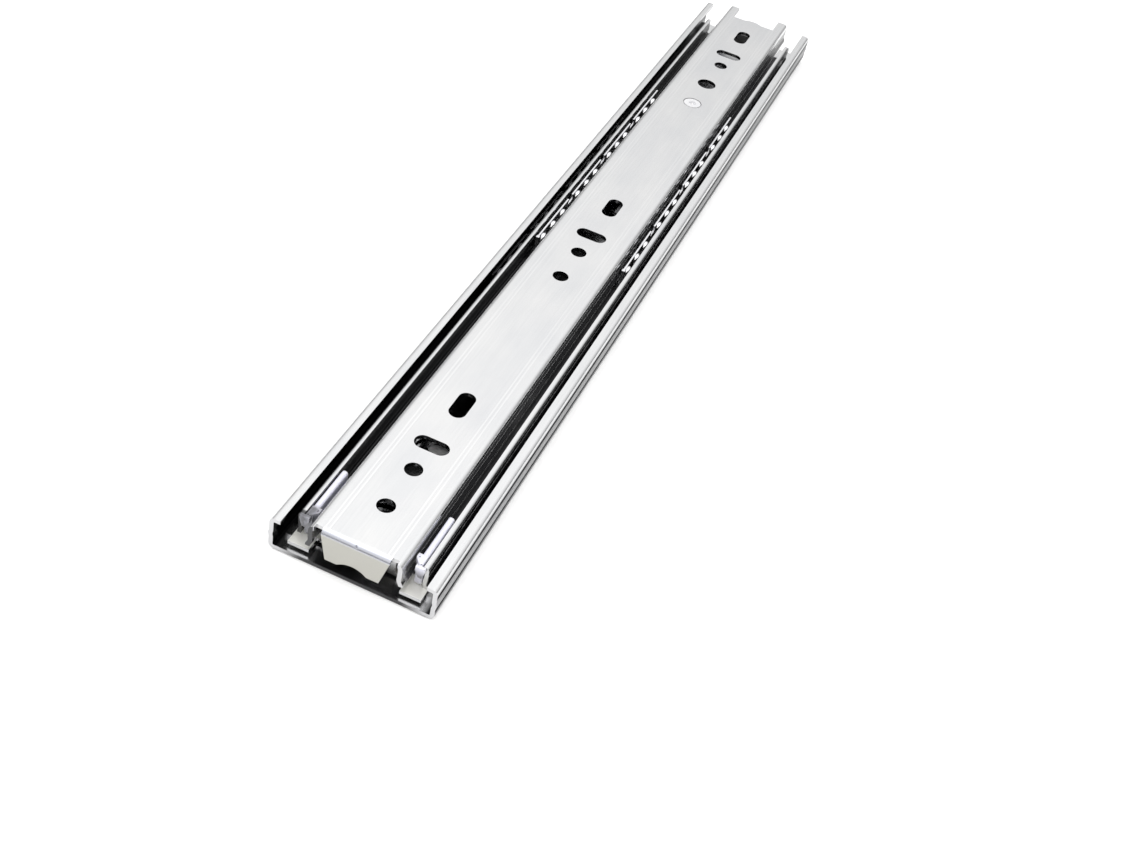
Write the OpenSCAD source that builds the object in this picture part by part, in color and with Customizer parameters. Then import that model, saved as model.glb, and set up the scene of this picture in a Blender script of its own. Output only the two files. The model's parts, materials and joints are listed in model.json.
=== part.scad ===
// Full-extension ball-bearing drawer slide, closed, lying on its cabinet face.
// X runs along the slide and +X is the opening direction; Y is across; +Z points to the drawer.
// The origin is at the middle of the cabinet face. "Station" is the distance back from the front end.

/* [Size] */
// length of the closed slide
slide_length = 350; // [345:1:400]
// width over the cabinet member
slide_width = 46.4; // [46.2:0.1:46.6]
// thickness from the cabinet face to the drawer face
slide_height = 12.7; // [12.6:0.05:13]

/* [Cabinet member] */
// height over its rolled lips
lip_height = 10.5; // [10.4:0.05:10.8]
// sheet thickness of the cabinet and drawer members
heavy_sheet = 1.2; // [1.1:0.05:1.2]
// sheet thickness of the middle member
light_sheet = 1.0; // [0.9:0.05:1.0]

/* [Balls] */
// ball diameter
ball_d = 4; // [3.9:0.05:4]
// spacing of the balls in a group of three
ball_pitch = 8.2; // [8:0.1:8.6]
// spacing of the groups
group_pitch = 29.8; // [29:0.1:31]
// station of the first inner ball when closed
inner_ball_start = 152.5; // [150:0.5:155]
// station of the first outer ball when closed
outer_ball_start = 130; // [125:0.5:135]

/* [Fixing holes] */
// diameter of the fixing holes and width of the slots
hole_d = 5; // [4.5:0.1:5.2]
// length of the slots across the slide
cross_slot = 10; // [9:0.1:11]
// length of the slots along the slide
long_slot = 11; // [10:0.1:12]
// diameter of the access hole
access_d = 7; // [6:0.1:7.5]

/* [Hidden] */
$fn = 64;
rows = ["outer_ball_left", "outer_ball_right", "inner_ball_left", "inner_ball_right"];
groups = 4;
balls_in_group = 3;
row_count = groups * balls_in_group;
// balls are numbered from the front, 01 to 12
function ball_name(row, i) = str(row, i < 10 ? "_0" : "_", i);

steel = [0.78, 0.79, 0.82];
cage = [0.7, 0.71, 0.74];
nylon = [0.86, 0.86, 0.9];
grey = [0.5, 0.5, 0.52];
black = [0.15, 0.15, 0.16];

half_width = slide_width / 2;
eps = 0.01;
// half-length of the short run that bridges two moves of a sheet profile
bridge = 0.04;
// how far that run stands proud of each face, so that it covers the joint
bridge_proud = 0.01;

// centres of the ball rows, across and above the cabinet face
race_gap = 0.1;
race_r = ball_d / 2 + race_gap;
inner_row = [14.9, 7.6];
outer_row = [half_width - heavy_sheet - race_r, 5.0];

// levels of the flat webs, at the middle of each sheet
outer_web = heavy_sheet / 2;
outer_cage_web = 1.65;
middle_web = 2.6;
inner_cage_web = 3.65;
inner_web = slide_height - heavy_sheet / 2;
cage_sheet = 0.5;

// stations of the two ends of each member
middle_front = 1.5;
middle_rear = slide_length - 12;
inner_front = 0.9;
inner_rear = slide_length - 0.3;

// hole stations in the drawer member
inner_rounds = [16.5, 31.5, 130.5, 145.5, 295.5];
inner_cross = [42, 156.5, 306];
inner_long = [60.5, 175.5, 324.5];
inner_access = 277.5;
rivet_at = 260;

// hole stations in the cabinet member
outer_rounds = [18, 137.5, 280.5];
outer_cross = [53, 316];
outer_long = [154, 240];

// ---- sheet profiles -------------------------------------------------------
// A profile is a start pose [y, z, heading] and a list of moves along the middle
// of the sheet: [length] is a straight run, [radius, turn] a bend (left is positive).

function bend_centre(p, m) =
    let (side = sign(m[1]))
    [p[0] - m[0] * side * sin(p[2]), p[1] + m[0] * side * cos(p[2])];

function move_end(p, m) =
    len(m) == 1
    ? [p[0] + m[0] * cos(p[2]), p[1] + m[0] * sin(p[2]), p[2]]
    : let (c = bend_centre(p, m), side = sign(m[1]), h = p[2] + m[1])
      [c[0] + m[0] * side * sin(h), c[1] - m[0] * side * cos(h), h];

module run_piece(p, length, t) {
    translate([p[0], p[1]])
        rotate(p[2])
            translate([0, -t / 2])
                square([length, t]);
}

module bend_piece(p, m, t) {
    side = sign(m[1]);
    c = bend_centre(p, m);
    start = p[2] - 90 * side;
    reach = 2 * (m[0] + t);
    translate(c)
        intersection() {
            difference() {
                circle(r = m[0] + t / 2);
                circle(r = m[0] - t / 2);
            }
            polygon([[0, 0],
                     reach * [cos(start), sin(start)],
                     reach * [cos(start + m[1] / 2), sin(start + m[1] / 2)],
                     reach * [cos(start + m[1]), sin(start + m[1])]]);
        }
}

module bent_sheet(p, moves, t, i = 0) {
    if (i < len(moves)) {
        m = moves[i];
        // each joint between two moves is bridged by a very short run
        if (i > 0) {
            translate([-bridge * cos(p[2]), -bridge * sin(p[2])])
                run_piece(p, 2 * bridge, t + 2 * bridge_proud);
        }
        if (len(m) == 1) {
            run_piece(p, m[0], t);
        } else {
            bend_piece(p, m, t);
        }
        bent_sheet(move_end(p, m), moves, t, i + 1);
    }
}

module both_sides() {
    children();
    mirror([1, 0])
        children();
}

// extrudes a profile between two stations
module along(s0, s1) {
    translate([slide_length / 2 - s1, 0, 0])
        rotate([90, 0, 90])
            linear_extrude(s1 - s0)
                children();
}

// places a shape drawn at the origin at a station
module at(s, y = 0, z = 0) {
    translate([slide_length / 2 - s, y, z])
        children();
}

// a block between two stations, two sides and two levels
module block(s0, s1, y0, y1, z0, z1) {
    translate([slide_length / 2 - s1, y0, z0])
        cube([s1 - s0, y1 - y0, z1 - z0]);
}

module slot_cut(s, length, width, across, z0, z1) {
    run = length - width;
    at(s, 0, z0)
        rotate(across ? 90 : 0)
            linear_extrude(z1 - z0) {
                square([run, width], center = true);
                for (k = [-1, 1])
                    translate([k * run / 2, 0])
                        circle(d = width);
            }
}

// ---- cabinet member -------------------------------------------------------
// The wall is upright, with a shallow bulge that hugs the ball row by race_turn
// degrees above and below it.
race_turn = 18;
race_mid = race_r + heavy_sheet / 2;
race_ease = 0.9;
foot_r = 0.9;
lip_r = 1.0;
lip_edge = 20;
race_half = (race_mid + race_ease) * sin(race_turn);
outer_wall = outer_row[0] + race_mid - (race_mid + race_ease) * (1 - cos(race_turn));

outer_moves = [
    [outer_wall - foot_r],
    [foot_r, 90],
    [outer_row[1] - race_half - outer_web - foot_r],
    [race_ease, -race_turn],
    [race_mid, 2 * race_turn],
    [race_ease, -race_turn],
    [lip_height - heavy_sheet / 2 - lip_r - outer_row[1] - race_half],
    [lip_r, 90],
    [outer_wall - lip_r - lip_edge]
];

notch_front = slide_length - 9.2;
notch_half = 12.5;
tongue_half = 7.6;
tongue_top = 8.3;
tongue_corner = 2;
lug_half = 0.9;
lug_reach = 2;
lug_y = 19.7;
lug_top = 2.4;
lug_station = 6;

module outer_profile() {
    both_sides()
        bent_sheet([0, outer_web, 0], outer_moves, heavy_sheet);
}

module tongue() {
    along(notch_front - heavy_sheet, notch_front)
        difference() {
            translate([-tongue_half, 0])
                square([2 * tongue_half, tongue_top]);
            for (k = [-1, 1])
                translate([k * tongue_half, tongue_top])
                    rotate(45)
                        square(tongue_corner, center = true);
        }
}

module outer_member() {
    color(steel) {
        difference() {
            along(0, slide_length)
                outer_profile();
            block(notch_front, slide_length + 1, -notch_half, notch_half, -1, heavy_sheet + 1);
            for (s = outer_rounds)
                at(s, 0, -1)
                    cylinder(d = hole_d, h = heavy_sheet + 2);
            for (s = outer_cross)
                slot_cut(s, cross_slot, hole_d, true, -1, heavy_sheet + 1);
            for (s = outer_long)
                slot_cut(s, long_slot, hole_d, false, -1, heavy_sheet + 1);
        }
        tongue();
        // pressed lugs that stop the outer ball retainer at each end
        for (k = [-1, 1], s = [lug_station, slide_length - lug_station])
            block(s - lug_reach, s + lug_reach, k * lug_y - lug_half, k * lug_y + lug_half,
                  outer_web, lug_top);
    }
}

// ---- middle member --------------------------------------------------------
middle_mid = race_r + light_sheet / 2;
row_step = outer_row - inner_row;
row_gap = norm(row_step);
row_angle = atan2(-row_step[1], row_step[0]);
cross_angle = acos(2 * middle_mid / row_gap) - row_angle;
middle_foot_r = 1.0;
foot_turn = asin((outer_row[1] - middle_web - middle_foot_r) / (middle_mid + middle_foot_r));
middle_lip_top = 10.5;
middle_lip_r = 0.6;
middle_lip_edge = 16.5;
middle_flat = outer_row[0] - (middle_mid + middle_foot_r) * cos(foot_turn);
middle_wall = inner_row[0] + middle_mid;
middle_upright = middle_lip_top - light_sheet / 2 - middle_lip_r - inner_row[1];

middle_moves = [
    [middle_flat],
    [middle_foot_r, 90 + foot_turn],
    [middle_mid, cross_angle - foot_turn],
    [sqrt(row_gap * row_gap - 4 * middle_mid * middle_mid)],
    [middle_mid, -cross_angle],
    [middle_upright],
    [middle_lip_r, 90],
    [middle_wall - middle_lip_r - middle_lip_edge]
];

// the walls start behind two flat tongues of the web
wall_front = 5.3;
tongue_inside = 12.6;
tongue_outside = 18.5;
tongue_root = 3;
rear_cutback = 3;
rear_lip_y = 17.5;
rear_lip_half = 2;
rear_lip_low = 9;
catch_station = 6;
catch_inside = 2;
catch_outside = 9;
catch_top = 7.2;
// windows that give access to the cabinet holes
cross_windows = [22, 51, 283, 318];
long_windows = [148, 240];
cross_window = 16;
long_window = 32;
window_width = 9;

module middle_profile() {
    both_sides()
        bent_sheet([0, middle_web, 0], middle_moves, light_sheet);
}

module intermediate_member() {
    web_top = middle_web + light_sheet / 2;
    web_low = middle_web - light_sheet / 2;
    color(steel) {
        difference() {
            along(wall_front, middle_rear)
                middle_profile();
            // the web is cut back between the front tongues and at the rear
            block(0, catch_station, -tongue_inside, tongue_inside, web_low - 1, web_top + 1);
            block(middle_rear - rear_cutback, slide_length, -tongue_inside, tongue_inside,
                  web_low - 1, web_top + 1);
            // the lips stop short of the walls at the rear
            for (k = [-1, 1])
                block(middle_rear - rear_cutback, slide_length, k * rear_lip_y - rear_lip_half,
                      k * rear_lip_y + rear_lip_half, rear_lip_low, slide_height);
            for (s = cross_windows)
                slot_cut(s, cross_window, window_width, true, web_low - 1, web_top + 1);
            for (s = long_windows)
                slot_cut(s, long_window, window_width, false, web_low - 1, web_top + 1);
        }
        for (k = [-1, 1])
            block(middle_front, wall_front + tongue_root, min(k * tongue_inside, k * tongue_outside),
                  max(k * tongue_inside, k * tongue_outside), web_low, web_top);
        // catch tab for the release lever
        block(catch_station, catch_station + light_sheet, catch_inside, catch_outside, web_low, catch_top);
    }
}

// ---- drawer member --------------------------------------------------------
drawer_mid = race_r + heavy_sheet / 2;
enter_turn = 12;
leave_turn = 35;
drawer_ease = 0.9;
drawer_wall = inner_row[0] - drawer_mid + (drawer_mid + drawer_ease) * (1 - cos(enter_turn));
shoulder_r = 1.2;
wall_tail = 0.3;

drawer_moves = [
    [drawer_wall - shoulder_r],
    [shoulder_r, -90],
    [inner_web - shoulder_r - inner_row[1] - (drawer_mid + drawer_ease) * sin(enter_turn)],
    [drawer_ease, -enter_turn],
    [drawer_mid, enter_turn + leave_turn],
    [drawer_ease, -leave_turn],
    [wall_tail]
];

flap_half = 9.4;
flap_low = 4.2;
flap_bend = 1.4;
flap_turn = 84;
flap_shoulder = 11.5;
flap_foot_half = 7.4;
wave_r = 6.6;
wave_drop = 5.2;
crease = 1;
relief_half = 11.4;
relief_front = 2.2;
relief_rear = 3.2;
finger_inside = 8.7;
rear_web = slide_length - 9.5;
rear_bulge_r = 5.6;
rear_bulge_back = 4.4;
rivet_hole_d = 4;
rivet_seat_d = 7;
rivet_seat = 0.5;

module drawer_profile() {
    both_sides()
        bent_sheet([0, inner_web, 0], drawer_moves, heavy_sheet);
}

// the flap seen from the front: tapered, its lower edge waved
module flap_face() {
    difference() {
        polygon([[-flap_half, slide_height + 1], [-flap_half, flap_shoulder], [-flap_foot_half, flap_low],
                 [flap_foot_half, flap_low], [flap_half, flap_shoulder], [flap_half, slide_height + 1]]);
        translate([0, flap_low - wave_drop])
            circle(r = wave_r);
    }
}

module flap() {
    root = 3.5;
    overhang = 0.4;
    drop = inner_web - flap_bend - flap_low + heavy_sheet / 2;
    intersection() {
        translate([slide_length / 2 - root, flap_half + 1, 0])
            rotate([90, 0, 0])
                linear_extrude(2 * flap_half + 2)
                    bent_sheet([0, inner_web, 0],
                               [[root - inner_front - flap_bend - overhang], [flap_bend, -flap_turn], [drop]],
                               heavy_sheet);
        along(-1, root + 0.5)
            flap_face();
    }
}

// the rear edge of the web between the fingers, bulging rearward in the middle
module rear_web_cut() {
    difference() {
        block(rear_web, slide_length + 1, -finger_inside, finger_inside, inner_web - 1, slide_height + 1);
        at(rear_web - rear_bulge_back, 0, inner_web - 2)
            cylinder(r = rear_bulge_r, h = 4);
    }
}

module inner_member() {
    low = inner_web - 1;
    high = slide_height + 1;
    color(steel) {
        difference() {
            along(inner_front, inner_rear)
                drawer_profile();
            // room for the flap's bend and the reliefs beside it
            block(0, relief_rear, -relief_half, relief_half, low, high);
            rear_web_cut();
            for (s = inner_rounds)
                at(s, 0, low)
                    cylinder(d = hole_d, h = 3);
            at(inner_access, 0, low)
                cylinder(d = access_d, h = 3);
            for (s = inner_cross)
                slot_cut(s, cross_slot, hole_d, true, low, high);
            for (s = inner_long)
                slot_cut(s, long_slot, hole_d, false, low, high);
            // seat of the lever rivet
            at(rivet_at, 0, low)
                cylinder(d = rivet_hole_d, h = 3);
            at(rivet_at, 0, slide_height - rivet_seat)
                cylinder(d = rivet_seat_d, h = 1);
        }
        difference() {
            flap();
            at(inner_front, 0, slide_height)
                rotate(45)
                    cube([crease, crease, 2 * crease], center = true);
        }
        // the web beside the bend, up to the reliefs
        for (k = [-1, 1])
            block(relief_front, relief_rear, min(k * relief_half, k * flap_half),
                  max(k * relief_half, k * flap_half), slide_height - heavy_sheet, slide_height);
    }
}

// ---- ball retainers and balls ---------------------------------------------
function ball_offset(i) = floor(i / balls_in_group) * group_pitch + (i % balls_in_group) * ball_pitch;
last_ball = ball_offset(row_count - 1);
cage_end = 5;
cage_bend = 1.0;
pocket_gap = 0.2;
// the low stretches of the rail, measured back from the next group's first ball
dip_from = 8.4;
dip_to = 5;
dip_above_balls = 1.2;
cage_window = 22;
cage_window_width = 12;
cage_window_inset = 30;

module cage_profile(web, row, top) {
    both_sides()
        bent_sheet([0, web, 0], [[row[0] - cage_bend], [cage_bend, 90], [top - web - cage_bend]], cage_sheet);
}

module cage_body(start, web, row, top) {
    s0 = start - cage_end;
    s1 = start + last_ball + cage_end;
    difference() {
        along(s0, s1)
            cage_profile(web, row, top);
        // ball pockets
        for (i = [0 : row_count - 1])
            at(start + ball_offset(i), 0, row[1])
                rotate([90, 0, 0])
                    cylinder(d = ball_d + pocket_gap, h = 2 * slide_width, center = true);
        // the rail is low between the groups
        for (g = [1 : groups - 1])
            block(start + g * group_pitch - dip_from, start + g * group_pitch - dip_to,
                  -half_width, half_width, row[1] + dip_above_balls, top + 1);
        // windows in the web
        for (s = [s0 + cage_window_inset, (s0 + s1) / 2, s1 - cage_window_inset])
            slot_cut(s, cage_window, cage_window_width, false, web - 1, web + 1);
    }
}

outer_cage_top = 7.7;
inner_cage_top = 10.8;
hook_length = 1.1;
hook_half = 0.5;

module outer_ball_retainer() {
    color(cage)
        cage_body(outer_ball_start, outer_cage_web, outer_row, outer_cage_top);
}

module inner_ball_retainer() {
    color(cage) {
        cage_body(inner_ball_start, inner_cage_web, inner_row, inner_cage_top);
        // the front ends of the rails are turned over as hooks
        for (k = [-1, 1])
            block(inner_ball_start - cage_end, inner_ball_start - cage_end + hook_length,
                  k * inner_row[0] - hook_half, k * inner_row[0] + hook_half, inner_row[1], inner_cage_top);
    }
}

// ball i of a row, counted from 1 at the front; left is -Y, as seen from the rear
module ball(row, i) {
    outer = row == rows[0] || row == rows[1];
    side = row == rows[0] || row == rows[2] ? -1 : 1;
    start = outer ? outer_ball_start : inner_ball_start;
    place = outer ? outer_row : inner_row;
    color(steel)
        at(start + ball_offset(i - 1), side * place[0], place[1])
            sphere(d = ball_d);
}

// ---- rear bumper ----------------------------------------------------------
bumper_half = 9;
bumper_top = 7.6;
bumper_low = 0.8;
pad_depth = 2;
backing = 0.8;
lobe_y = 5.3;
lobe_z = 4.4;
lobe_r = 4.3;
lobe_inset = 0.6;
lobe_top = 7.2;
rib_levels = [1.0, 3.2, 5.4];
rib_height = 1.1;
rib_r = 3.6;
rib_inset = 1.2;
rib_half = 3.2;
rib_low = 0.6;
rib_top = 7.4;
// how far the cuts reach behind the tongue, past the lobes and ribs
bumper_reach = 6;

module rear_bumper() {
    tongue_front = notch_front - heavy_sheet;
    color(grey) {
        // pad in front of the tongue and cheeks around its sides
        block(tongue_front - pad_depth, tongue_front, -bumper_half, bumper_half, heavy_sheet, bumper_top);
        for (k = [-1, 1])
            block(tongue_front - eps, notch_front + eps, min(k * tongue_half, k * bumper_half),
                  max(k * tongue_half, k * bumper_half), heavy_sheet, bumper_top);
        // backing behind the tongue
        block(notch_front, notch_front + backing, -bumper_half, bumper_half, bumper_low, bumper_top);
        // two rounded lobes
        for (k = [-1, 1])
            intersection() {
                block(notch_front, notch_front + bumper_reach, -bumper_half, bumper_half,
                      bumper_low, lobe_top);
                at(notch_front - lobe_inset, k * lobe_y, lobe_z)
                    sphere(r = lobe_r);
            }
        // three curved ribs between the lobes
        intersection() {
            block(notch_front, notch_front + bumper_reach, -rib_half, rib_half, rib_low, rib_top);
            for (z = rib_levels)
                at(notch_front - rib_inset, 0, z)
                    cylinder(r = rib_r, h = rib_height);
        }
    }
}

// ---- front guides ---------------------------------------------------------
guide_rear = 23.6;
guide_inside = 14.35;
guide_outside = 16.0;
guide_deep = 16.35;
guide_top = 10.5;
guide_low = 3.4;
guide_round = 0.7;
guide_gap = 0.05;
head_front = 4.4;
head_back = wall_front - guide_gap;
head_rear = 8.8;
head_inside = 13.4;
head_low = 8.4;
head_top = 10.6;
head_slant = 7.4;
foot_top = 8.8;
pin_d = 0.5;

// cross-section of the right-hand guide, its top edges rounded
module guide_section() {
    difference() {
        union() {
            translate([guide_inside, guide_low])
                square([guide_outside - guide_inside, guide_top - guide_round - guide_low]);
            translate([guide_inside + guide_round, guide_low])
                square([guide_outside - guide_inside - 2 * guide_round, guide_top - guide_low]);
            for (y = [guide_inside + guide_round, guide_outside - guide_round])
                translate([y, guide_top - guide_round])
                    circle(r = guide_round);
            // lower part, out to the race of the middle member
            translate([guide_inside, guide_low])
                square([guide_deep - guide_inside, foot_top - guide_low]);
        }
        // hollow that clears the race of the middle member
        translate(outer_row)
            circle(r = race_r + light_sheet + guide_gap);
    }
}

module front_guide(side) {
    color(nylon)
        mirror([0, side < 0 ? 1 : 0, 0])
            difference() {
                union() {
                    along(wall_front + 0.4, guide_rear)
                        guide_section();
                    // head that fills the corner beside the drawer member, slanted in plan
                    at(0, 0, head_low)
                        linear_extrude(head_top - head_low)
                            polygon([[-head_front, guide_outside], [-head_slant, head_inside],
                                     [-head_rear, head_inside], [-head_rear, guide_outside]]);
                    // plate that laps over the front of the wall and tapers down
                    along(head_front, head_back)
                        polygon([[14.6, head_top], [17.2, head_top], [17.3, 9.6], [16.6, 7],
                                 [15.6, 7], [14.6, 9]]);
                }
                for (p = [[7.8, 14.1], [5.6, 15.6]])
                    at(p[0], p[1], guide_top - 1)
                        cylinder(d = pin_d, h = 2);
            }
}

module front_guide_left() {
    front_guide(-1);
}

module front_guide_right() {
    front_guide(1);
}

// ---- release lever --------------------------------------------------------
lever_low = 8.8;
lever_high = 11.2;
hook_front = 183;
hook_thick = 3;
hook_inside = 2.5;
hook_outside = 7;
hook_low = 5;
eye_r = 5.2;
shank_d = 3.9;
shank_gap = 0.2;

module lever_outline() {
    // drawn with the pivot at the origin and +x to the front
    circle(r = eye_r);
    polygon([[0, -4.6], [62, 1.0], [84, 1.0], [84, 7.5], [62, 7.5], [0, 4.6]]);
    // spring arm
    polygon([[-2, -4.8], [-10.5, -10.2], [-9.6, -11.2], [2, -5]]);
}

module release_lever() {
    color(black) {
        at(rivet_at, 0, lever_low)
            linear_extrude(lever_high - lever_low)
                difference() {
                    lever_outline();
                    circle(d = shank_d + shank_gap);
                }
        // hook that meets the catch tab when the slide is fully open
        block(hook_front, hook_front + hook_thick, hook_inside, hook_outside, hook_low, lever_low + eps);
    }
}

head_d = 6.4;
head_thick = 0.45;
clinch_d = 6;
clinch_thick = 0.6;
clinch_drop = 0.2;
dimple_d = 2.6;
dimple_deep = 0.4;

module lever_rivet() {
    seat = slide_height - rivet_seat;
    shank_low = lever_low - clinch_drop;
    color(steel)
        difference() {
            union() {
                at(rivet_at, 0, seat)
                    cylinder(d = head_d, h = head_thick);
                at(rivet_at, 0, shank_low)
                    cylinder(d = shank_d, h = seat - shank_low);
                at(rivet_at, 0, shank_low - clinch_thick + 0.1)
                    cylinder(d = clinch_d, h = clinch_thick);
            }
            at(rivet_at, 0, seat - dimple_deep)
                cylinder(d = dimple_d, h = 2);
        }
}

outer_member();
intermediate_member();
inner_member();
outer_ball_retainer();
inner_ball_retainer();
for (row = rows, i = [1 : row_count])
    ball(row, i);
rear_bumper();
front_guide_left();
front_guide_right();
release_lever();
lever_rivet();
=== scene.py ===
import json
import math

import bpy
from mathutils import Matrix, Vector


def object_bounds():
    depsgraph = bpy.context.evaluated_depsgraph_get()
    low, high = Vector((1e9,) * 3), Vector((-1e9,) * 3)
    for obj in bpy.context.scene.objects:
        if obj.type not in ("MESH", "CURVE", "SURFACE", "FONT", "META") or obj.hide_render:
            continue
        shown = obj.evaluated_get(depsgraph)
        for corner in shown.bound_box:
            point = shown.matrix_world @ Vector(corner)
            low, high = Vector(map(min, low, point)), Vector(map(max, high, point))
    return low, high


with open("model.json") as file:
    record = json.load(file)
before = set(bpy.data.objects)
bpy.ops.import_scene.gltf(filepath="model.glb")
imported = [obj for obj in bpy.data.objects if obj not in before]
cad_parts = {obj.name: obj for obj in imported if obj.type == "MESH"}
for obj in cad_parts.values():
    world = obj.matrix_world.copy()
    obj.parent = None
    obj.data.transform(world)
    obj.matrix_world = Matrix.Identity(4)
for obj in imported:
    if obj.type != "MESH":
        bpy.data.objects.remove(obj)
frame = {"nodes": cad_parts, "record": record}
cad_low, cad_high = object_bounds()
nodes = frame["nodes"]
scene = bpy.context.scene

MM = 0.001
LENGTH = (cad_high[0] - cad_low[0]) / MM


# ---- node helper ----------------------------------------------------------

class Nodes:
    """Short names for building a node tree: every method returns an output socket."""

    def __init__(self, tree):
        self.tree = tree
        self.tree.nodes.clear()

    def link(self, a, b):
        self.tree.links.new(a, b)

    def feed(self, value, socket):
        if isinstance(value, bpy.types.NodeSocket):
            self.link(value, socket)
        else:
            socket.default_value = value

    def stretched(self, vector, scale):
        m = self.tree.nodes.new("ShaderNodeMapping")
        m.inputs["Scale"].default_value = scale
        self.link(vector, m.inputs["Vector"])
        return m.outputs[0]

    def noise(self, vector, scale, detail=3.0, rough=0.55):
        n = self.tree.nodes.new("ShaderNodeTexNoise")
        n.inputs["Scale"].default_value = scale
        n.inputs["Detail"].default_value = detail
        n.inputs["Roughness"].default_value = rough
        self.link(vector, n.inputs["Vector"])
        return n.outputs["Fac"]

    def ramp(self, value, low, high, a=0.0, b=1.0):
        r = self.tree.nodes.new("ShaderNodeMapRange")
        for name, number in (("From Min", low), ("From Max", high), ("To Min", a), ("To Max", b)):
            r.inputs[name].default_value = number
        self.feed(value, r.inputs["Value"])
        return r.outputs[0]

    def above(self, value, edge, soft):
        return self.ramp(value, edge - soft, edge + soft)

    def below(self, value, edge, soft):
        return self.ramp(value, edge - soft, edge + soft, 1.0, 0.0)

    def band(self, value, middle, half, soft):
        return self.times(self.above(value, middle - half, soft), self.below(value, middle + half, soft))

    def mix(self, fac, a, b):
        m = self.tree.nodes.new("ShaderNodeMix")
        m.data_type = "RGBA"
        for value, name in ((fac, "Factor"), (a, "A"), (b, "B")):
            self.feed(value, [s for s in m.inputs if s.name == name and s.enabled][0])
        return [s for s in m.outputs if s.enabled][0]

    def math(self, op, a, b=0.0):
        m = self.tree.nodes.new("ShaderNodeMath")
        m.operation = op
        self.feed(a, m.inputs[0])
        self.feed(b, m.inputs[1])
        return m.outputs[0]

    def times(self, *values):
        product = values[0]
        for value in values[1:]:
            product = self.math("MULTIPLY", product, value)
        return product

    def plus(self, a, b):
        return self.math("ADD", a, b)

    def without(self, mask):
        return self.math("SUBTRACT", 1.0, mask)

    def xyz(self, vector):
        s = self.tree.nodes.new("ShaderNodeSeparateXYZ")
        self.link(vector, s.inputs[0])
        return s.outputs[0], s.outputs[1], s.outputs[2]


class Surface(Nodes):
    """A Principled surface that knows its place on the part, in millimetres, and its facing.

    station is the distance back from the front end, aside the distance from the middle
    and z the height over the cabinet face.
    """

    def __init__(self, name):
        self.mat = bpy.data.materials.new(name)
        self.mat.use_nodes = True
        super().__init__(self.mat.node_tree)
        self.out = self.tree.nodes.new("ShaderNodeOutputMaterial")
        self.bsdf = self.tree.nodes.new("ShaderNodeBsdfPrincipled")
        self.link(self.bsdf.outputs[0], self.out.inputs["Surface"])
        coord = self.tree.nodes.new("ShaderNodeTexCoord")
        self.coord = coord.outputs["Object"]
        x, self.side, self.z = self.xyz(self.stretched(self.coord, (1 / MM,) * 3))
        self.station = self.math("SUBTRACT", cad_high[0] / MM, x)
        self.aside = self.math("ABSOLUTE", self.side)
        nx, ny, self.up = self.xyz(coord.outputs["Normal"])
        self.endwise = self.math("ABSOLUTE", nx)
        self.outward = self.math("MULTIPLY", ny, self.math("SIGN", self.side))

    def cut_end(self):
        """1 on the sheared ends of the sheet, which face along the slide."""
        return self.above(self.endwise, 0.8, 0.1)

    def left(self):
        return self.below(self.side, 0.0, 1.0)

    def worn(self):
        """1 along sharp edges, where handling rubs the surface, and 0 elsewhere."""
        dot = self.tree.nodes.new("ShaderNodeVectorMath")
        dot.operation = "DOT_PRODUCT"
        self.link(self.rounded(0.25 * MM), dot.inputs[0])
        self.link(self.tree.nodes.new("ShaderNodeNewGeometry").outputs["Normal"], dot.inputs[1])
        return self.ramp(dot.outputs["Value"], 0.75, 0.97, 1.0, 0.0)

    def rounded(self, radius):
        e = self.tree.nodes.new("ShaderNodeBevel")
        e.samples = 4
        e.inputs["Radius"].default_value = radius
        return e.outputs[0]

    def relief(self, height, distance, edge_radius=0):
        """Fine bump, over edges that are shown slightly rounded."""
        b = self.tree.nodes.new("ShaderNodeBump")
        b.inputs["Distance"].default_value = distance
        self.link(height, b.inputs["Height"])
        if edge_radius:
            self.link(self.rounded(edge_radius), b.inputs["Normal"])
        self.link(b.outputs[0], self.bsdf.inputs["Normal"])


# ---- materials ------------------------------------------------------------

WHITE = (1, 1, 1, 1)
DEEP_SHADE = (0.012, 0.012, 0.013, 1)
SOFT_DARK = (0.04, 0.04, 0.042, 1)
OIL_AND_SHADE = (0.16, 0.16, 0.17, 1)
GRAIN = (0.3, 0.3, 0.32, 1)
CUT_EDGE = (0.52, 0.52, 0.53, 1)
PAINTED_EDGE_HIGHLIGHT = (0.85, 0.85, 0.84, 1)
RUBBED_STEEL = (0.85, 0.85, 0.86, 1)
RUBBED_PLASTIC = (0.9, 0.9, 0.92, 1)
DARK_WALL_REFLECTION = (0.13, 0.13, 0.135, 1)
WALL_REFLECTION_TINT = (0.03, 0.03, 0.03, 1)
STRAW = (0.43, 0.425, 0.39, 1)
PALE_STRAW = (0.85, 0.845, 0.80, 1)
PAINTED_LINE_HIGHLIGHT = (0.8, 0.8, 0.8, 1)
LAVENDER_REFLECTION = (0.47, 0.48, 0.53, 1)


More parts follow.
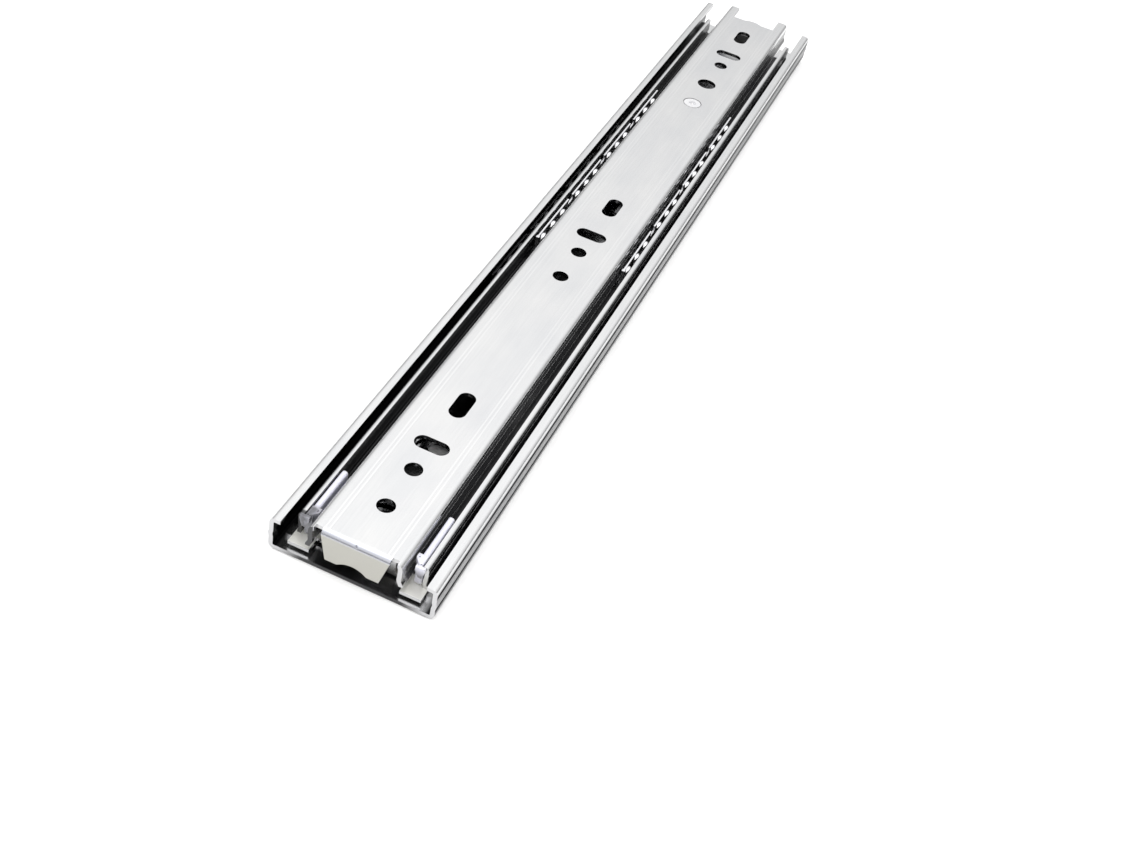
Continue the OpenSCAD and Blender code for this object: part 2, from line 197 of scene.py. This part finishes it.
def race_film_and_shade(s, member):
    """Where the dark layer lies, partly grease and partly painted shade: the ball races and the channel
    between them, never on cut ends.
    """
    off_ends = s.below(s.endwise, 0.5, 0.1)
    if member == "outer_member":
        place = s.times(s.above(s.aside, 15, 0.3), s.below(s.z, 9.9, 0.2))
        facing_in = s.below(s.outward, 0.15, 0.1)
        ends = s.plus(s.below(s.station, 8, 1), s.above(s.station, LENGTH - 14, 2))
        wiped = s.times(ends, s.above(s.up, 0.5, 0.2), s.below(s.aside, 20, 1))
        return s.times(place, facing_in, off_ends, s.without(wiped))
    if member == "intermediate_member":
        lip_top = s.times(s.above(s.up, 0.3, 0.1), s.above(s.z, 6, 0.5))
        place = s.times(s.above(s.aside, 12.8, 0.3), s.below(s.z, 9.8, 0.2))
        return s.times(place, s.without(lip_top), s.above(s.station, 6, 0.3), off_ends)
    place = s.times(s.below(s.z, 10.6, 0.3), s.above(s.station, 3, 0.5))
    return s.times(s.above(s.outward, 0.3, 0.1), place, off_ends)


def cabinet_painted_light(s, colour):
    """Painted light on the outer member: painted dark reflections on the outer walls, painted shade on the
    web's cut ends and a painted highlight on the rear tongue's top edge.
    """
    # Painted reflection: the outer walls are darkened, with two darker rows, and their grazing reflection
    # is dimmed.
    rows = s.plus(s.band(s.z, 8.1, 0.8, 0.4), s.band(s.z, 3.3, 0.8, 0.5))
    walls = s.times(s.above(s.outward, 0.7, 0.15), s.below(s.z, 9.2, 0.4))
    painted_wall_reflection = s.times(s.plus(s.times(rows, 0.5), 0.4), walls)
    # Painted shade: the cut ends of the web are darkened.
    web_end_shade = s.times(s.cut_end(), s.below(s.z, 1.3, 0.1), s.below(s.aside, 17, 3))
    # Painted highlight: the top edge of the rear tongue is painted bright and made less metallic.
    tongue_highlight = s.times(s.band(s.station, LENGTH - 9.8, 0.8, 0.1), s.above(s.z, 8.1, 0.1))
    tongue_highlight = s.times(tongue_highlight, s.below(s.aside, 9, 0.1))
    colour = s.mix(s.times(web_end_shade, 0.9), colour, DEEP_SHADE)
    colour = s.mix(tongue_highlight, colour, PAINTED_EDGE_HIGHLIGHT)
    colour = s.mix(painted_wall_reflection, colour, DARK_WALL_REFLECTION)
    s.link(s.mix(painted_wall_reflection, WHITE, WALL_REFLECTION_TINT), s.bsdf.inputs["Specular Tint"])
    return colour, s.ramp(tongue_highlight, 0.0, 1.0, 1.0, 0.1)


def middle_marks_and_shade(s, colour):
    """Oil and painted shade on the underside, a darker front end on the left and straw plating on the
    front tongues.
    """
    # Darker front end on the left, above 3.2 mm.
    left_front_dark = s.times(s.below(s.station, 6.5, 0.3), s.above(s.z, 3.2, 0.2), s.left())
    # Oil and painted shade: the underside is darkened.
    oil_and_shade = s.times(s.below(s.up, -0.6, 0.2), s.above(s.station, 7, 1))
    tint = s.times(s.below(s.station, 8.2, 0.3), s.band(s.z, 3, 0.9, 0.1), s.above(s.up, 0.5, 0.1))
    colour = s.mix(s.times(left_front_dark, 0.9), colour, SOFT_DARK)
    colour = s.mix(oil_and_shade, colour, OIL_AND_SHADE)
    return s.mix(tint, colour, PALE_STRAW), tint


def drawer_marks_and_painted_light(s, colour):
    """Oil and painted shade inside, straw plating on the flap, a painted lavender reflection on the bend
    and two painted highlight lines a side.
    """
    # Oil and painted shade: the underside and the inward faces are darkened.
    inside = s.math("MAXIMUM", s.below(s.up, -0.6, 0.2), s.below(s.outward, -0.3, 0.1))
    oil_and_shade = s.times(inside, s.above(s.station, 3, 1))
    flap = s.times(s.below(s.z, 11.3, 0.3), s.below(s.aside, 11, 0.2))
    tint = s.times(s.below(s.station, 2.7, 0.2), flap)
    # Painted highlight: two light lines a side on top of the web, fading towards the rear.
    highlight_lines = s.plus(s.band(s.aside, 8.0, 0.2, 0.15), s.band(s.aside, 9.1, 0.2, 0.15))
    highlight_lines = s.times(highlight_lines, s.above(s.z, 12.6, 0.05), s.ramp(s.station, 25, 115, 0.55, 0.2))
    # Painted reflection: a lavender band along the front bend.
    bend_reflection = s.times(s.below(s.station, 1.8, 0.25), s.band(s.z, 11.95, 0.6, 0.15))
    bend_reflection = s.times(bend_reflection, s.below(s.up, 0.97, 0.02), s.below(s.aside, 11.5, 0.3))
    # Painted shade: the left wall's cut front end is darkened.
    wall_end_shade = s.times(s.cut_end(), s.below(s.station, 1.5, 0.2), s.above(s.aside, 11.6, 0.1), s.left())
    colour = s.mix(oil_and_shade, colour, OIL_AND_SHADE)
    colour = s.mix(tint, colour, STRAW)
    colour = s.mix(highlight_lines, colour, PAINTED_LINE_HIGHLIGHT)
    colour = s.mix(bend_reflection, colour, LAVENDER_REFLECTION)
    return s.mix(s.times(wall_end_shade, 0.9), colour, SOFT_DARK), tint


def plated(name, tone, cool, rough, member=None):
    """Zinc-plated sheet: rolling grain along the slide, cloudy tone, brighter worn edges."""
    s = Surface(name)
    grain = s.noise(s.stretched(s.coord, (30, 1500, 1500)), 1.0)
    cloud = s.noise(s.stretched(s.coord, (45, 90, 90)), 1.0)
    speck = s.noise(s.coord, 2600, 2.0)
    colour = s.mix(s.ramp(cloud, 0.3, 0.7), (*tone, 1), (*cool, 1))
    colour = s.mix(s.ramp(grain, 0.35, 0.75, 0.0, 0.07), colour, GRAIN)
    colour = s.mix(s.times(s.worn(), 0.6), colour, RUBBED_STEEL)
    rough = s.plus(s.ramp(cloud, 0.3, 0.7, rough - 0.03, rough + 0.04), s.ramp(speck, 0.4, 0.7, 0.0, 0.04))
    metal = 1.0
    if member:
        colour = s.mix(s.times(s.cut_end(), 0.8), colour, CUT_EDGE)
        # Partly grease and partly painted shade: the races and the gaps between the members are darkened
        # where shade falls between the parts.
        film_and_shade = s.times(race_film_and_shade(s, member), s.ramp(cloud, 0.2, 0.4, 0.9, 1.0))
        thin = s.below(s.aside, 16.3, 0.4)
        colour = s.mix(film_and_shade, colour, s.mix(thin, DEEP_SHADE, SOFT_DARK))
    if member == "outer_member":
        colour, metal = cabinet_painted_light(s, colour)
    elif member:
        colour, tint = (drawer_marks_and_painted_light if member == "inner_member" else middle_marks_and_shade)(s, colour)
        rough = s.plus(rough, s.times(tint, 0.15))
        metal = s.times(s.ramp(tint, 0.0, 1.0, 1.0, 0.35), s.ramp(film_and_shade, 0.0, 1.0, 1.0, 0.1))
    s.link(colour, s.bsdf.inputs["Base Color"])
    s.feed(metal, s.bsdf.inputs["Metallic"])
    s.link(rough, s.bsdf.inputs["Roughness"])
    s.relief(s.plus(s.times(grain, 0.6), s.times(speck, 0.3)), 0.006 * MM)
    return s.mat


def plastic(name, colour, dark, rough, gloss=0.0, glow=0.0, front_dark=0.0):
    """Moulded plastic: cloudy tone, fine moulded texture, rubbed edges; front_dark sets how much its front
    end is darkened.
    """
    s = Surface(name)
    cloud = s.noise(s.coord, 160)
    speck = s.noise(s.coord, 2700, 2.0)
    c = s.mix(s.ramp(cloud, 0.35, 0.65), (*colour, 1), (*dark, 1))
    c = s.mix(s.times(s.worn(), 0.25), c, RUBBED_PLASTIC)
    if front_dark:
        # Darker front end: the front plate darkens lower down, the head in patches on the left.
        plate = s.times(s.below(s.station, 5.6, 0.2), s.ramp(s.z, 10, 7.5))
        patches = s.ramp(cloud, 0.42, 0.5, 0.75, 1.0)
        head = s.times(s.below(s.station, 9, 0.8), s.left(), patches)
        c = s.mix(s.times(s.math("MAXIMUM", plate, head), front_dark), c, SOFT_DARK)
    s.link(c, s.bsdf.inputs["Base Color"])
    s.link(s.ramp(speck, 0.3, 0.7, rough - 0.05, rough + 0.08), s.bsdf.inputs["Roughness"])
    s.bsdf.inputs["Coat Weight"].default_value = gloss
    s.bsdf.inputs["Subsurface Weight"].default_value = glow
    s.bsdf.inputs["Subsurface Radius"].default_value = (1.0, 1.0, 1.0)
    s.bsdf.inputs["Subsurface Scale"].default_value = 2 * MM
    s.relief(speck, 0.01 * MM, 0.25 * MM)
    return s.mat


def polished(name, tone, left_front_dark):
    """Ground and polished steel with faint smears."""
    s = Surface(name)
    smear = s.noise(s.coord, 700)
    c = s.mix(s.ramp(smear, 0.3, 0.7), (*tone, 1), (*left_front_dark, 1))
    s.link(c, s.bsdf.inputs["Base Color"])
    s.bsdf.inputs["Metallic"].default_value = 1.0
    s.link(s.ramp(smear, 0.3, 0.7, 0.06, 0.16), s.bsdf.inputs["Roughness"])
    s.relief(smear, 0.003 * MM)
    return s.mat


ZINC = ((0.68, 0.68, 0.68), (0.63, 0.635, 0.645))
finish = {
    "cage_steel": plated("cage_steel", (0.80, 0.80, 0.82), (0.72, 0.72, 0.74), 0.2),
    # Dark outer retainer and balls: partly grease and partly painted shade.
    "cage_greased": plated("cage_greased", (0.05, 0.05, 0.052), (0.035, 0.035, 0.037), 0.35),
    "ball_steel": polished("ball_steel", (0.88, 0.88, 0.9), (0.7, 0.7, 0.72)),
    "ball_greased": polished("ball_greased", (0.05, 0.05, 0.052), (0.03, 0.03, 0.032)),
    "rivet_steel": plated("rivet_steel", (0.88, 0.88, 0.89), (0.82, 0.82, 0.84), 0.25),
    "bumper_grey": plastic("bumper_grey", (0.36, 0.36, 0.37), (0.27, 0.27, 0.28), 0.22, 0.7),
    "guide_nylon": plastic("guide_nylon", (0.70, 0.70, 0.80), (0.65, 0.65, 0.75), 0.3, 0.3, 0.8, 0.85),
    "lever_plastic": plastic("lever_plastic", (0.03, 0.03, 0.033), (0.02, 0.02, 0.022), 0.4),
}
slot_of = {s["node"]: s["material_slot"] for s in frame["record"]["subparts"]}


def finish_of(name, slot):
    """The outer retainer and its balls are dark, partly grease and partly painted shade; each of the three
    members has a finish of its own.
    """
    if name.startswith("outer_ball"):
        slot = slot.replace("steel", "greased")
    return finish[slot] if slot in finish else plated(name, *ZINC, 0.2, name)


for name, obj in nodes.items():
    obj.data.materials.clear()
    obj.data.materials.append(finish_of(name, slot_of[name]))


# ---- floor, light and camera ----------------------------------------------

FLOOR_GAP = 0.3 * MM
bpy.ops.mesh.primitive_plane_add(size=6, location=(0, 0, -FLOOR_GAP))
floor = bpy.context.object
floor.name = "floor"
n = Surface("floor")
tone = n.mix(n.ramp(n.noise(n.coord, 3.0, 2.0), 0.3, 0.7), (0.98, 0.98, 0.98, 1), (0.96, 0.96, 0.96, 1))
n.link(tone, n.bsdf.inputs["Base Color"])
n.bsdf.inputs["Roughness"].default_value = 0.7
floor.data.materials.append(n.mat)


def area(name, place, size, power, colour=(1, 1, 1), target=(0, 0, 0)):
    light = bpy.data.lights.new(name, "AREA")
    light.shape = "RECTANGLE"
    light.size, light.size_y = size
    light.energy = power
    light.color = colour
    lamp = bpy.data.objects.new(name, light)
    lamp.location = place
    lamp.rotation_mode = "QUATERNION"
    lamp.rotation_quaternion = (Vector(target) - Vector(place)).to_track_quat("-Z", "Y")
    scene.collection.objects.link(lamp)
    return lamp


area("overhead", (0.2, 0.1, 1.4), (1.8, 1.4), 6)
area("front", (1.2, 0.2, 0.5), (0.9, 0.5), 1.5, (1.0, 0.95, 0.85))

# The room is brightest overhead and dimmer towards the horizon, as in a light tent.
world = bpy.data.worlds.new("studio")
scene.world = world
world.use_nodes = True
w = Nodes(world.node_tree)
direction = w.tree.nodes.new("ShaderNodeTexCoord").outputs["Generated"]
height = w.xyz(direction)[2]
rise = w.plus(w.ramp(height, 0.0, 0.5, 0.2, 1.15), w.ramp(height, 0.5, 0.8, 0.0, 0.35))
brightness = w.math("MAXIMUM", rise, w.ramp(height, -0.02, 0.0, 1.0, 0.0))
sky = w.tree.nodes.new("ShaderNodeBackground")
sky.inputs["Color"].default_value = (1, 1, 1, 1)
w.link(brightness, sky.inputs["Strength"])
w.link(sky.outputs[0], w.tree.nodes.new("ShaderNodeOutputWorld").inputs[0])
scene.view_settings.view_transform = "Standard"

CAMERA_AT = Vector((0.3838, 0.0925, 0.2687))
CAMERA_AIM = Vector((0.0988, 0.0269, 0.006))
CAMERA_ROLL = math.radians(14)
camera = bpy.data.objects.new("camera", bpy.data.cameras.new("camera"))
scene.collection.objects.link(camera)
scene.camera = camera
camera.data.lens = 44.5
camera.location = CAMERA_AT
camera.rotation_mode = "QUATERNION"
level = (CAMERA_AIM - CAMERA_AT).to_track_quat("-Z", "Y")
camera.rotation_quaternion = level @ Matrix.Rotation(CAMERA_ROLL, 4, "Z").to_quaternion()
camera.data.clip_start = 0.005
camera.data.clip_end = 20
